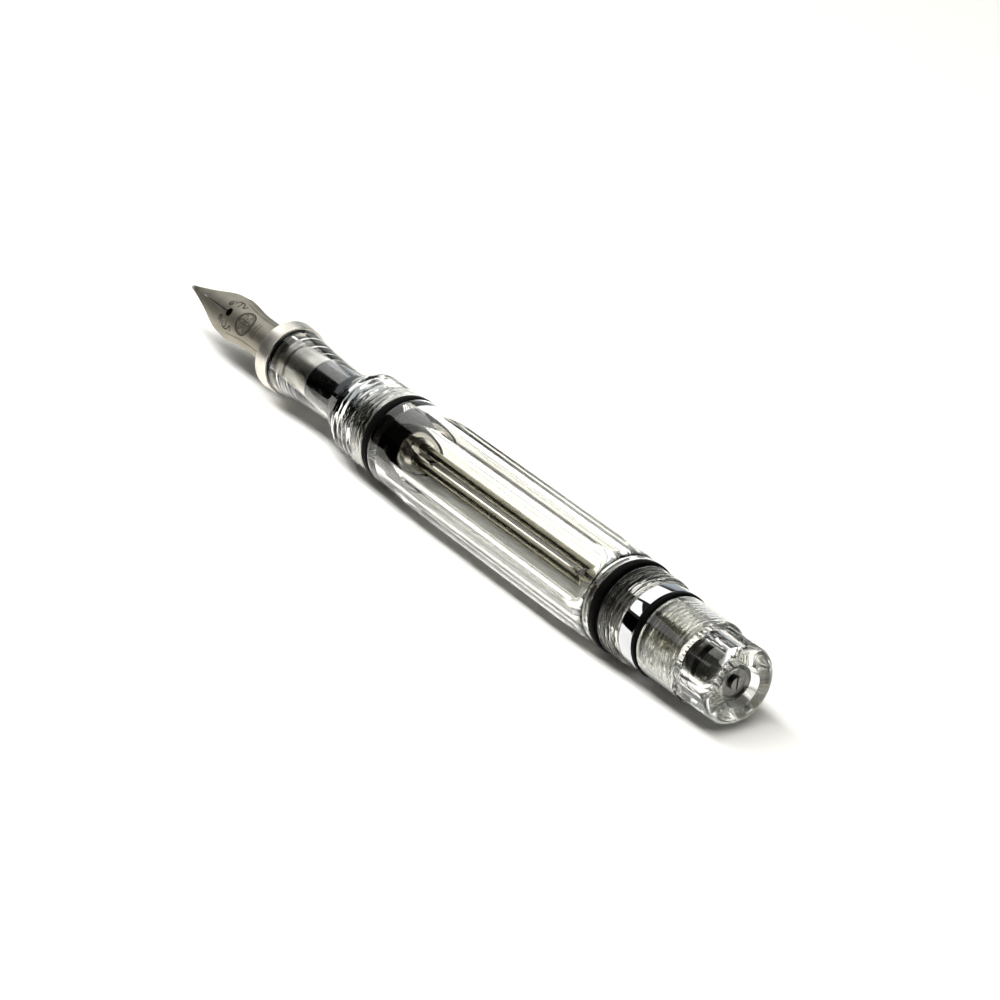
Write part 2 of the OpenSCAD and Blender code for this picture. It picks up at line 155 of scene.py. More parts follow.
def flattened(rows, flat_r):
    """The same rows cut by the pen's flats."""
    return [(s, np.minimum(r, flat_r / np.cos(FROM_FLAT))) for s, r in rows]


# ---------------------------------------------------------------- meshes

def to_world(points):
    """Pen coordinates (station, left, up), in millimetres, to metres in the row's frame."""
    points = np.asarray(points, float)
    return np.column_stack([points[:, 0] * MM + TIP_X, points[:, 1] * MM, points[:, 2] * MM + AXIS_Z])


def linked(name, mesh):
    """A new object in the scene that shows the mesh."""
    piece = bpy.data.objects.new(name, mesh)
    bpy.context.scene.collection.objects.link(piece)
    return piece


def new_piece(name, verts, faces, sharp_degrees):
    """A smooth-shaded piece with outward normals and marked sharp edges."""
    mesh = bpy.data.meshes.new(name)
    mesh.from_pydata([tuple(v) for v in verts], [], faces)
    shape = bmesh.new()
    shape.from_mesh(mesh)
    bmesh.ops.recalc_face_normals(shape, faces=shape.faces)
    shape.to_mesh(mesh)
    shape.free()
    mesh.shade_smooth()
    mesh.set_sharp_from_angle(angle=math.radians(sharp_degrees))
    return linked(name, mesh)


def weighted_normals(piece):
    """Normals that follow the large faces, with marked edges kept."""
    modifier = piece.modifiers.new("even_normals", "WEIGHTED_NORMAL")
    modifier.keep_sharp = True
    return piece


def turned(name, rows, sharp_degrees=SHARP_DEGREES):
    """A closed solid from a loop of (station, radius) rows; a row of radius 0 is a point on the axis."""
    verts = []
    rings = []
    for s, r in rows:
        if np.ndim(r) == 0 and r <= TINY:
            rings.append([len(verts)])
            verts.append((s, 0.0, 0.0))
            continue
        radii = np.broadcast_to(r, ANGLES.shape)
        rings.append(list(range(len(verts), len(verts) + SEGMENTS)))
        verts.extend(zip(np.full(SEGMENTS, s), -radii * np.sin(ANGLES), radii * np.cos(ANGLES)))
    faces = []
    for a, b in zip(rings, rings[1:] + rings[:1]):
        if len(a) == 1 and len(b) == 1:
            continue
        for k in range(SEGMENTS):
            n = (k + 1) % SEGMENTS
            if len(a) == 1:
                faces.append((a[0], b[k], b[n]))
            elif len(b) == 1:
                faces.append((a[k], b[0], a[n]))
            else:
                faces.append((a[k], b[k], b[n], a[n]))
    return weighted_normals(new_piece(name, to_world(verts), faces, sharp_degrees))


def stands_for(piece, node, material=None):
    """The piece takes the CAD node's place and body, and its slot's material unless given one."""
    slot = SLOT_OF[node]
    piece.data.materials.append(MATERIALS[material or slot])
    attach(piece, BODY_OF[node])
    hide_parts(node)
    return piece


# ---------------------------------------------------------------- materials

# Colour sockets of a Mix node
COLOUR_A = 6
COLOUR_B = 7
COLOUR_OUT = 2


class Nodes:
    """A small helper that adds linked shader nodes to one material."""

    def __init__(self, name):
        self.material = bpy.data.materials.new(name)
        self.material.use_nodes = True
        self.tree = self.material.node_tree
        self.shader = self.tree.nodes["Principled BSDF"]
        self.place = None

    def add(self, kind, **settings):
        node = self.tree.nodes.new(kind)
        for key, value in settings.items():
            setattr(node, key, value)
        return node

    def link(self, output, target):
        self.tree.links.new(output, target)

    def coords(self, scale=(1, 1, 1)):
        """Object coordinates in millimetres, stretched by scale."""
        if self.place is None:
            self.place = self.add("ShaderNodeTexCoord").outputs["Object"]
        mapping = self.add("ShaderNodeMapping")
        mapping.inputs["Scale"].default_value = [v / MM for v in scale]
        self.link(self.place, mapping.inputs["Vector"])
        return mapping.outputs["Vector"]

    def noise(self, per_mm, detail=3.0, scale=(1, 1, 1)):
        """A noise value, with its scale per millimetre of the piece."""
        texture = self.add("ShaderNodeTexNoise")
        texture.inputs["Scale"].default_value = per_mm
        texture.inputs["Detail"].default_value = detail
        self.link(self.coords(scale), texture.inputs["Vector"])
        return texture.outputs["Fac"]

    def spread(self, value, low, high, start=0.3, end=0.7):
        """Maps the part of a value between start and end to low and high."""
        node = self.add("ShaderNodeMapRange")
        node.inputs["From Min"].default_value = start
        node.inputs["From Max"].default_value = end
        node.inputs["To Min"].default_value = low
        node.inputs["To Max"].default_value = high
        self.link(value, node.inputs["Value"])
        return node.outputs["Result"]

    def blend_colours(self, value, low, high):
        """A colour between low and high."""
        node = self.add("ShaderNodeMix", data_type="RGBA")
        self.link(value, node.inputs["Factor"])
        node.inputs[COLOUR_A].default_value = (*low, 1)
        node.inputs[COLOUR_B].default_value = (*high, 1)
        return node.outputs[COLOUR_OUT]

    def math(self, operation, a, b):
        node = self.add("ShaderNodeMath", operation=operation)
        for socket, value in zip(node.inputs, (a, b)):
            if isinstance(value, (int, float)):
                socket.default_value = value
            else:
                self.link(value, socket)
        return node.outputs[0]

    def bump(self, height, strength, depth_mm):
        node = self.add("ShaderNodeBump")
        node.inputs["Strength"].default_value = strength
        node.inputs["Distance"].default_value = depth_mm * MM
        self.link(height, node.inputs["Height"])
        return node.outputs["Normal"]

    def set(self, **values):
        """Fixed values on the shader's own sockets."""
        for key, value in values.items():
            self.shader.inputs[key.replace("_", " ")].default_value = value

    def drive(self, name, output):
        """Links an output to one of the shader's sockets."""
        self.link(output, self.shader.inputs[name])


def clear_plastic(name, tint, haze=0.008):
    """Polished clear acrylic with faint waviness and handling haze."""
    m = Nodes(name)
    paler = [min(1.0, c * 1.008) for c in tint]
    m.set(Transmission_Weight=1.0, IOR=1.49)
    m.drive("Base Color", m.blend_colours(m.noise(per_mm=0.12), tint, paler))
    handled = m.noise(per_mm=0.7, detail=4.0)
    m.drive("Roughness", m.spread(handled, low=0.0, high=haze, start=0.42, end=0.75))
    waves = m.noise(per_mm=0.22, detail=1.0, scale=(0.35, 1, 1))
    m.drive("Normal", m.bump(waves, strength=0.02, depth_mm=0.001))
    return m.material


def turned_metal(name, light, dark, roughness, lines_per_mm=9.0, line_depth=0.004, stain=0.25):
    """Machined metal with fine turning lines, brushed variation and dull patches."""
    m = Nodes(name)
    m.set(Metallic=1.0)
    patches = m.noise(per_mm=0.55, detail=5.0)
    shade = m.spread(patches, low=0.0, high=1.0, start=0.35, end=0.7)
    m.drive("Base Color", m.blend_colours(shade, light, dark))
    fine = m.noise(lines_per_mm, detail=2.0, scale=(1, 0.02, 0.02))
    worn = m.math("MULTIPLY", m.spread(patches, low=1 - stain, high=1 + stain), roughness)
    m.drive("Roughness", m.math("MULTIPLY", m.spread(fine, low=0.85, high=1.2), worn))
    m.drive("Normal", m.bump(fine, strength=0.35, depth_mm=line_depth))
    return m.material


def rubber(name, colour, roughness=0.42):
    """Black nitrile: a fine matt skin with dusty patches and a soft sheen."""
    m = Nodes(name)
    dust = m.noise(per_mm=1.4, detail=6.0)
    dusty = [c * 2.2 for c in colour]
    share = m.spread(dust, low=0.0, high=1.0, start=0.5, end=0.8)
    m.drive("Base Color", m.blend_colours(share, colour, dusty))
    m.drive("Roughness", m.spread(dust, low=roughness - 0.08, high=roughness + 0.14))
    m.set(IOR=1.5, Specular_IOR_Level=0.03)
    m.drive("Normal", m.bump(m.noise(per_mm=14.0), strength=0.25, depth_mm=0.004))
    return m.material


def black_plastic(name, colour, roughness=0.2):
    """Moulded black plastic with a glossy skin, fine flow lines and small scuffs."""
    m = Nodes(name)
    scuffs = m.noise(per_mm=2.2, detail=6.0, scale=(0.4, 1, 1))
    scuffed = [c * 1.8 for c in colour]
    share = m.spread(scuffs, low=0.0, high=1.0, start=0.6, end=0.8)
    m.drive("Base Color", m.blend_colours(share, colour, scuffed))
    m.drive("Roughness", m.spread(scuffs, low=roughness, high=roughness + 0.16, start=0.45, end=0.8))
    m.set(IOR=1.52, Specular_IOR_Level=0.15)
    flow = m.noise(per_mm=5.0, scale=(0.3, 1, 1))
    m.drive("Normal", m.bump(flow, strength=0.12, depth_mm=0.002))
    return m.material


def nib_steel(name):
    """Satin steel of the nib: brushed along the pen, near-black in the engraved lines, and near-black
    along the slit and the breather hole's edge as painted shade.
    """
    m = Nodes(name)
    m.set(Metallic=1.0)
    dull = (0.325, 0.3, 0.243)
    bright = (0.41, 0.38, 0.312)
    # Near-black for the engraved lines and for the painted shade along the slit and the breather hole
    dark_lines_and_slit_shade = (0.02, 0.018, 0.014)
    roughness = 0.46
    brushed = m.noise(per_mm=7.0, scale=(0.12, 1.6, 1.6))
    patches = m.noise(per_mm=0.5, detail=4.0)
    plain = m.blend_colours(m.spread(patches, low=0.0, high=1.0), dull, bright)
    # This attribute marks the engraved lines and also the painted shade on the edge beside the slit and
    # the breather hole
    cut = m.add("ShaderNodeAttribute", attribute_name="engraved")
    tone = m.add("ShaderNodeMix", data_type="RGBA")
    m.link(cut.outputs["Fac"], tone.inputs["Factor"])
    m.link(plain, tone.inputs[COLOUR_A])
    tone.inputs[COLOUR_B].default_value = (*dark_lines_and_slit_shade, 1)
    m.drive("Base Color", tone.outputs[COLOUR_OUT])
    soft = m.math("MULTIPLY", m.spread(brushed, low=0.85, high=1.25), roughness)
    m.drive("Roughness", m.math("ADD", soft, m.math("MULTIPLY", cut.outputs["Fac"], 0.25)))
    m.drive("Normal", m.bump(brushed, strength=0.3, depth_mm=0.004))
    return m.material


def floor_material():
    """Matt, nearly white paper with a faint grain."""
    m = Nodes("floor_paper")
    clouds = m.noise(per_mm=0.02, detail=2.0)
    m.drive("Base Color", m.blend_colours(clouds, (0.9, 0.9, 0.9), (0.915, 0.915, 0.912)))
    m.drive("Roughness", m.spread(m.noise(per_mm=0.3), low=0.75, high=0.95))
    grain = m.noise(per_mm=1.2, detail=4.0)
    m.drive("Normal", m.bump(grain, strength=0.1, depth_mm=0.02))
    return m.material


# A metal takes its light and its dark colour, then its roughness
MATERIALS = {
    "clear_barrel": clear_plastic("clear_barrel_acrylic", (0.985, 0.98, 0.935)),
    "clear_grip": clear_plastic("clear_grip_acrylic", (0.975, 0.975, 0.95)),
    "clear_coupling": clear_plastic("clear_coupling_acrylic", (0.94, 0.935, 0.875)),
    "clear_knob": clear_plastic("clear_knob_acrylic", (0.97, 0.972, 0.94)),
    "nib_steel": nib_steel("nib_satin_steel"),
    "tipping_metal": turned_metal(
        "tipping_hard_metal", (0.62, 0.6, 0.57), (0.42, 0.4, 0.38), 0.3),
    "trim_steel": turned_metal(
        "trim_polished_steel", (0.82, 0.785, 0.71), (0.72, 0.685, 0.615), 0.34),
    "satin_collar": turned_metal(
        "collar_satin_steel", (0.88, 0.86, 0.81), (0.74, 0.72, 0.67), 0.37),
    "inner_steel": turned_metal(
        "inner_turned_steel", (0.66, 0.64, 0.6), (0.5, 0.48, 0.45), 0.22),
    "dark_steel": turned_metal(
        "dark_turned_steel", (0.2, 0.2, 0.19), (0.1, 0.1, 0.095), 0.26),
    "rod_steel": turned_metal(
        "rod_drawn_steel", (0.31, 0.295, 0.235), (0.23, 0.22, 0.175), 0.2,
        lines_per_mm=5.0, line_depth=0.0015),
    "chrome": turned_metal(
        "chrome_plate", (0.66, 0.675, 0.7), (0.61, 0.625, 0.65), 0.04,
        lines_per_mm=6.0, line_depth=0.0006),
    "black_plastic": black_plastic("black_moulded_plastic", (0.012, 0.012, 0.014)),
    "black_rubber": rubber("black_nitrile", (0.0015, 0.0015, 0.0015)),
    "brass": turned_metal("nickelled_brass", (0.6, 0.56, 0.46), (0.5, 0.46, 0.38), 0.25),
}


# ---------------------------------------------------------------- clear parts

# Length left free on each side of the front O-ring
SEAT_GAP = 0.03


def barrel():
    """Clear barrel: helical tenon, round front, ten long flats, curved shoulder and thin rear lip."""
    s_tenon, s_end = span("barrel")
    s_seat = span("front_oring")[0] - SEAT_GAP
    s_front = span("front_oring")[1] + SEAT_GAP
    low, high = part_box("barrel")
    flat_r = (high.z - low.z) / 2 / MM
    corner_r = flat_r / math.cos(math.pi / SIDES) + 0.01
    front_r = 6.34
    bore_r = 4.6
    tenon_r = 5.2
    root_r = tenon_r - 0.25
    mouth_r = tenon_r - 0.3
    lip_r = 6.26
    ledge_r = lip_r - 0.25
    socket_r = 5.66
    s_rise = s_front + 0.8
    s_full = s_front + 12
    s_lip = s_end - 1.0
    s_ledge = s_lip - 0.5
    s_fall = s_ledge - 5.2
    s_socket = s_end - 1.2

    mouth = [(s_tenon, bore_r, 0), (s_tenon, mouth_r, 0.1), (s_tenon + 0.15, root_r, 0)]
    tenon = rounded(mouth)[1:]
    tenon += helix(s_tenon + 0.2, s_seat - 0.4, turns=5, root=root_r, crest=tenon_r, rows_per_turn=10)[1:]
    seat = [(s_seat - 0.4, root_r, 0), (s_seat - 0.2, tenon_r, 0.1), (s_front, tenon_r, 0.05)]
    tenon += rounded(seat + [(s_front, front_r - 0.3, 0)])[1:]

    def shoulder(t):
        return ledge_r + (corner_r - lip_r + 0.25) * math.sqrt(max(0.0, 1 - t * t))

    outer = rounded([(s_front, tenon_r, 0), (s_front, front_r, 0.22), (s_rise, front_r, 0)])[1:]
    outer += stretch(s_rise, s_full, lambda t: front_r + (corner_r - front_r) * ease(t), steps=60)[1:]
    outer += stretch(s_full, s_fall, lambda t: corner_r, steps=40)[1:]
    outer += stretch(s_fall, s_ledge, shoulder, steps=60)[1:]

    lip = [(s_lip, ledge_r, 0.1), (s_lip + 0.1, lip_r, 0.12), (s_end, lip_r, 0.18)]
    inner = [(s_end, socket_r, 0.08), (s_socket, socket_r, 0.05), (s_socket, bore_r, 0.1)]
    inner += [(s_tenon, bore_r, 0.1), (s_tenon, mouth_r, 0)]
    rows = tenon + flattened(outer, flat_r)
    rows += rounded([outer[-1] + (0,)] + lip + inner)[1:-1]
    return stands_for(turned("barrel_clear", rows, FLATS_SHARP_DEGREES), "barrel")


def grip():
    """Clear grip: concave hold, flare, helical cap thread, collar, socket for the barrel's tenon."""
    s_nose = span("grip_section")[0]
    s_gasket = span("trim_gasket")[1]
    s_flare = s_gasket + 14.2
    s_thread = s_gasket + 18.2
    s_ridge = s_thread + 0.2
    s_oring = span("front_oring")[0] - SEAT_GAP
    s_collar = s_oring - 2.4
    s_socket = span("barrel")[0] - 0.1
    s_flange = span("inner_sleeve")[1] - 3.42
    bore_r = 3.4
    nose_r = 4.1
    waist_r = 3.95
    rim_r = 4.84
    root_r = 5.72
    crest_r = 6.12
    collar_r = 6.2
    socket_r = 5.25
    flange_r = 4.87

    front = [(s_nose, bore_r, 0), (s_nose, nose_r, 0.08), (s_gasket, nose_r, 0.04)]
    front += [(s_gasket, rim_r, 0.14), (s_gasket + 1, 4.74, 0)]
    rows = rounded(front)[1:-1]
    rows += stretch(s_gasket + 0.4, s_flare, lambda t: waist_r + 0.84 * (1 - t) ** 2, steps=40)
    flare = [(s_flare, waist_r, 0), (s_flare + 0.5, 4.05, 0.3), (s_flare + 1.2, 4.66, 0.5)]
    flare += [(s_flare + 2.6, 5.05, 0.9), (s_thread - 0.1, root_r, 0.25), (s_ridge, root_r, 0)]
    rows += rounded(flare, steps=6)[1:]
    rows += helix(s_ridge, s_collar, turns=5, root=root_r, crest=crest_r)[1:]
    collar = [(s_collar, root_r, 0), (s_collar + 0.02, collar_r, 0.12), (s_oring, collar_r, 0.12)]
    collar += [(s_oring, socket_r, 0.1), (s_oring - 0.4, socket_r, 0)]
    rows += rounded(collar)[1:]
    crest = socket_r + 0.22
    thread = helix(s_socket + 0.3, s_oring - 0.4, turns=5, root=socket_r, crest=crest, rows_per_turn=10)
    rows += thread[::-1][1:]
    inside = [(s_socket + 0.3, socket_r, 0), (s_socket, socket_r, 0.15), (s_socket, flange_r, 0.1)]
    inside += [(s_flange, flange_r, 0.05), (s_flange, bore_r, 0.05)]
    inside += [(s_nose, bore_r, 0.05), (s_nose, nose_r, 0)]
    rows += rounded(inside)[1:-1]
    return stands_for(turned("grip_clear", rows), "grip_section")


def coupling():
    """Clear rear coupling: spigot, O-ring seat, posting thread, neck and knob thread."""
    s_front, s_end = span("rear_coupling")
    s_oring = span("rear_oring")[0] - 0.02
    s_thread = span("rear_oring")[1] + 0.02
    s_ridge = s_thread + 0.12
    s_neck, s_stub = span("chrome_ring")
    s_shoulder = s_neck - 0.05
    s_bush_end = s_neck - 0.98
    s_gland = span("gland_nut")[1] + 0.1
    guide_r = 2.92
    bush_r = 4.92
    spigot_r = 5.64
    seat_r = 5.4
    root_r = 5.72
    crest_r = 6.12
    neck_r = 4.95
    stub_root_r = 4.28
    stub_crest_r = 4.58
    rod_hole_r = 1.9

    front = [(s_front, bush_r, 0.03), (s_front, spigot_r, 0.1), (s_oring, spigot_r, 0.04)]
    front += [(s_oring, seat_r, 0.05), (s_thread, seat_r, 0.05), (s_thread, root_r, 0.1)]
    rows = rounded([(s_end, guide_r, 0)] + front + [(s_ridge, root_r, 0)])[1:]
    rows += helix(s_ridge, s_neck - 0.2, turns=5, root=root_r, crest=crest_r)[1:]
    neck = [(s_neck - 0.2, root_r, 0), (s_shoulder, root_r - 0.05, 0.06), (s_shoulder, neck_r, 0.05)]
    neck += [(s_stub, neck_r, 0.1), (s_stub, stub_root_r, 0.1), (s_stub + 0.9, stub_root_r, 0)]
    rows += rounded(neck)[1:]
    rows += helix(s_stub + 0.9, s_end - 0.1, turns=7, root=stub_root_r, crest=stub_crest_r)[1:]
    back = [(s_end - 0.1, stub_root_r, 0), (s_end, stub_root_r - 0.1, 0.05)]
    back += [(s_end, rod_hole_r, 0.1), (s_gland, rod_hole_r, 0.05), (s_gland, guide_r, 0.05)]
    back += [(s_bush_end, guide_r, 0.05), (s_bush_end, bush_r, 0.05), (s_front, bush_r, 0)]
    rows += rounded(back)[1:-1]
    return stands_for(turned("coupling_clear", rows), "rear_coupling")


def knob():
    """Clear knob: round threaded zone, ten flats, rounded end rim, recess, inner thread."""
    s_front, s_end = span("knob")
    s_flats = s_front + 7.1
    s_cavity = s_front + 6.7
    s_disc = span("knob_disc")[0]
    round_r = reach("knob")
    flat_r = 5.18
    rim = 1.15
    s_rim = s_end - rim
    rim_r = 5.3 - rim
    cavity_r = 4.63
    thread_r = 4.95
    insert_r = 2.62
    disc_r = 2.45

    front = [(s_front, cavity_r, 0), (s_front, round_r, 0.14), (s_flats, round_r, 0.16)]
    front += [(s_flats + 0.02, round_r - 0.15, 0), (s_flats + 1, 5.44, 0)]
    outer = stretch(s_flats + 0.03, s_rim, lambda t: 5.45 - 0.15 * t, steps=30)
    for a in np.radians(np.linspace(4, 90, 16)):
        outer.append((s_rim + rim * math.sin(a), rim_r + rim * math.cos(a)))
    end = [outer[-1] + (0,), (s_end, 2.75, 0.12), (s_disc, disc_r, 0.05), (s_disc, insert_r, 0)]
    inner = [(s_disc, disc_r, 0), (s_disc, insert_r, 0.02), (s_cavity, insert_r, 0.1)]
    inner += [(s_cavity, cavity_r, 0.2), (s_cavity - 0.5, cavity_r, 0)]
    thread = helix(s_front + 0.5, s_cavity - 0.5, turns=8, root=cavity_r, crest=thread_r, rows_per_turn=12)
    mouth = [(s_front + 0.5, cavity_r, 0), (s_front, cavity_r, 0.1), (s_front, round_r, 0)]
    rows = rounded(front)[1:-1] + flattened(outer, flat_r) + rounded(end)[1:-1]
    rows += rounded(inner)[1:] + thread[::-1][1:-1] + rounded(mouth)[1:-1]
    return stands_for(turned("knob_clear", rows, FLATS_SHARP_DEGREES), "knob")


# ---------------------------------------------------------------- rubber parts

def oring(name, node, inner_r, power=4.0):
    """A rubber ring whose section is squeezed between a circle and a square."""
    s0, s1 = span(node)
    outer_r = reach(node)
    middle_s = (s0 + s1) / 2
    middle_r = (outer_r + inner_r) / 2
    half_s = (s1 - s0) / 2
    half_r = (outer_r - inner_r) / 2
    rows = []
    for a in np.linspace(0, 2 * math.pi, 33)[:-1]:
        c = math.cos(a)
        n = math.sin(a)
        push = (abs(c) ** power + abs(n) ** power) ** (-1 / power)
        rows.append((middle_s + half_s * c * push, middle_r + half_r * n * push))
    return stands_for(turned(name, rows), node)


def plunger_seal():
    """Two-lipped rubber seal."""
    s0, s1 = span("plunger_seal")
    lip_r = reach("plunger_seal")
    bore_r = 1.35
    waist_r = 4.15
    corners = [(s0, bore_r, 0.1), (s0, 3.9, 0.25), (s0 + 0.35, lip_r, 0.2), (s0 + 0.95, lip_r, 0.2)]
    corners += [(s0 + 1.25, waist_r, 0.25), (s0 + 1.95, waist_r, 0.25)]
    corners += [(s0 + 2.3, lip_r, 0.2), (s0 + 2.85, lip_r, 0.2), (s1, 4.2, 0.2), (s1, bore_r, 0.1)]
    return stands_for(turned("plunger_seal_rubber", rounded(corners, steps=5)), "plunger_seal")


# ---------------------------------------------------------------- metal and black parts

# Radii that several parts share: the hole for the rod or its screws, and the hole round the grip's nose
ROD_HOLE_R = 1.32
TRIM_BORE_R = 4.12


def nib_collar():
    """Silver collar round the nib, with a turned groove."""
    s0, s1 = span("nib_collar")
    r = reach("nib_collar")
    bore_r = 3.02
    groove_r = r - 0.18
    corners = [(s0, bore_r, 0.03), (s0, r, 0.06), (s0 + 1.7, r, 0.08), (s0 + 1.9, groove_r, 0.08)]
    corners += [(s0 + 2.7, groove_r, 0.08), (s0 + 2.9, r, 0.08), (s1, r, 0.06), (s1, bore_r, 0.03)]
    return stands_for(turned("nib_collar_steel", rounded(corners)), "nib_collar", "satin_collar")


def inner_sleeve():
    """Black sleeve with a wide flange at its rear end."""
    s0, s1 = span("inner_sleeve")
    r = reach("inner_sleeve")
    tube_r = 3.38
    bore_r = 2.7
    core_r = 1.6
    s_flange = s1 - 3.4
    s_core = span("feed")[1] + 1
    corners = [(s0, bore_r, 0.03), (s0, tube_r, 0.12), (s_flange, tube_r, 0.1), (s_flange, r, 0.15)]
    corners += [(s1, r, 0.15), (s1, core_r, 0.05), (s_core, core_r, 0.05), (s_core, bore_r, 0.05)]
    return stands_for(turned("inner_sleeve_black", rounded(corners)), "inner_sleeve")


def trim_ring():
    """Steel ring at the grip's mouth: bright rounded lip and a slightly tapered band."""
    s0, s1 = span("trim_ring")
    r = reach("trim_ring")
    mouth_r = 3.6
    s_step = s0 + 0.8
    corners = [(s0, mouth_r, 0.1), (s0, r - 0.3, 0.12), (s0 + 0.3, r, 0.25), (s1, r - 0.16, 0.1)]
    corners += [(s1, TRIM_BORE_R, 0.02), (s_step, TRIM_BORE_R, 0.02), (s_step, mouth_r, 0.05)]
    return stands_for(turned("trim_ring_steel", rounded(corners, steps=6)), "trim_ring")


def trim_gasket():
    """Thin black gasket between the trim ring and the grip."""
    s0, s1 = span("trim_gasket")
    r = 4.72
    corners = [(s0, TRIM_BORE_R, 0.02), (s0, r, 0.12), (s1, r, 0.12), (s1, TRIM_BORE_R, 0.02)]
    return stands_for(turned("trim_gasket_rubber", rounded(corners)), "trim_gasket")


def plunger_nut():
    """Cone-shaped steel nut."""
    s0, s1 = span("plunger_nut")
    corners = [(s0, ROD_HOLE_R, 0.02), (s0, 2.3, 0.08), (s0 + 0.25, 2.2, 0.08)]
    corners += [(s1, 1.6, 0.08), (s1, ROD_HOLE_R, 0.02)]
    return stands_for(turned("plunger_nut_steel", rounded(corners, steps=5)), "plunger_nut")


def seal_washer():
    """Washer between the seal and the nut."""
    s0, s1 = span("seal_washer")
    r = 3.3
    corners = [(s0, ROD_HOLE_R, 0.02), (s0, r, 0.1), (s1, r, 0.15), (s1, ROD_HOLE_R, 0.02)]
    return stands_for(turned("seal_washer_steel", rounded(corners)), "seal_washer")


def plunger_rod():
    """Drawn steel rod with two fine grooves behind the nut."""
    s0, s1 = span("plunger_rod")
    r = reach("plunger_rod")
    groove_r = r - 0.12
    apart = 0.75
    corners = [(s0, 0, 0), (s0, r, 0.08)]
    for k in range(2):
        at = span("plunger_nut")[1] + 0.15 + apart * k
        corners += [(at, r, 0.02), (at + 0.06, groove_r, 0.02)]
        corners += [(at + 0.24, groove_r, 0.02), (at + 0.3, r, 0.02)]
    corners += [(s1, r, 0.08), (s1, 0, 0)]
    return stands_for(turned("plunger_rod_steel", rounded(corners)), "plunger_rod")


def rod_guide():
    """Stepped steel bush that the rod slides in."""
    s0, s1 = span("rod_guide")
    r = reach("rod_guide")
    groove_r = r - 0.15
    tube_r = 2.9
    rod_r = 1.35
    packing_r = 2.12
    s_step = span("chrome_ring")[0] - 1
    s_packing = s1 - 2.4
    corners = [(s0, rod_r, 0.05), (s0, r - 0.2, 0.05), (s0 + 0.2, r, 0.1), (s0 + 2.2, r, 0.05)]
    corners += [(s0 + 2.35, groove_r, 0.04), (s0 + 2.75, groove_r, 0.04), (s0 + 2.9, r, 0.05)]
    corners += [(s_step, r, 0.1), (s_step, tube_r, 0.05), (s1, tube_r, 0.08), (s1, packing_r, 0.04)]
    corners += [(s_packing, packing_r, 0.03), (s_packing, rod_r, 0.03)]
    return stands_for(turned("rod_guide_steel", rounded(corners)), "rod_guide")


def chrome_ring():
    """Polished ring between the coupling's thread and the knob."""
    s0, s1 = span("chrome_ring")
    r = reach("chrome_ring")
    bore_r = 4.97
    corners = [(s0, bore_r, 0.03), (s0, r, 0.18), (s1, r, 0.18), (s1, bore_r, 0.03)]
    return stands_for(turned("chrome_ring_plated", rounded(corners, steps=6)), "chrome_ring")


def knob_insert():
    """Metal insert in the knob, with a blind hole for the rod and a seat for its O-ring."""
    s0, s1 = span("knob_insert")
    r = reach("knob_insert")
    seat_r = r - 0.6
    s_hole = s0 + 2.55
    s_seat = span("insert_oring")[0] - 0.02
    seat_end = s_seat + (span("insert_oring")[1] - span("insert_oring")[0] + 0.04)
    corners = [(s_hole, 0, 0), (s_hole, ROD_HOLE_R, 0.02), (s0, ROD_HOLE_R, 0.05), (s0, r, 0.15)]
    corners += [(s_seat, r, 0.06), (s_seat, seat_r, 0.05), (seat_end, seat_r, 0.05)]
    corners += [(seat_end, r, 0.06), (s1, r, 0.1), (s1, 0, 0)]
    return stands_for(turned("knob_insert_steel", rounded(corners)), "knob_insert")


def knob_disc():
    """Round disc in the knob's end recess, dished round its screw."""
    s0, s1 = span("knob_disc")
    r = 2.4
    hole_r = 0.9
    s_dish = s0 + 0.3
    corners = [(s0, hole_r, 0.03), (s0, r, 0.03), (s1, r, 0.06), (s1, 2.1, 0.08)]
    corners += [(s_dish, 1.8, 0.15), (s_dish, hole_r, 0.04)]
    return stands_for(turned("knob_disc_steel", rounded(corners, steps=5)), "knob_disc")


# ---------------------------------------------------------------- nib

# The nib's turn about the pen's axis, from straight up towards -Y
NIB_ROLL = math.radians(48)
NIB_SHEET = 0.28
# Half widths at the tip, the shoulders and the back end
TIP_W = 0.3
SHOULDER_W = 3.34
BACK_W = 2.84
SHOULDER_S = 12.6
# Height of the ridge line at the tip; behind the shank's station the nib is a plain half round
TIP_H = 1.05
SHANK_S = 19.0
SHANK_R = 3.0
BREATHER_S = SHOULDER_S - 0.15
BREATHER_R = 0.62
SLIT_HALF = 0.055
# Points across each half of the nib, and the metres within which the two halves join
NIB_COLUMNS = 64
NIB_JOIN = 2e-7
# Behind this station the nib's shape hardly changes, so its rows stand further apart
NIB_FINE_END = 21.6
# Depth of the engraved lines
ENGRAVED = 0.05
ROSETTE_S = 17.0
# Arcs beside the breather hole: the centre's station and distance from the slit, the radius, and the
# first and last angle
SCROLLS = [
    (12.6, 1.75, 0.55, math.radians(-60), math.radians(210)),
    (13.1, 1.35, 1.05, math.radians(20), math.radians(120)),
    (11.2, 1.3, 0.4, math.radians(100), math.radians(380)),
    (14.2, 2.0, 0.35, math.radians(160), math.radians(420)),
    (10.6, 1.9, 0.9, math.radians(-70), math.radians(10)),
]


def nib_top(s):
    """Height of the nib's ridge line over the axis."""
    rise = np.sin(np.radians(90 * np.minimum(s, SHANK_S) / SHANK_S)) ** 1.15
    return TIP_H + (SHANK_R - TIP_H) * rise


def nib_curve(s):
    """Radius of the nib's cross curve."""
    return SHANK_R + 1.3 * np.sin(np.radians(180 * np.minimum(s, SHANK_S) / SHANK_S)) ** 2


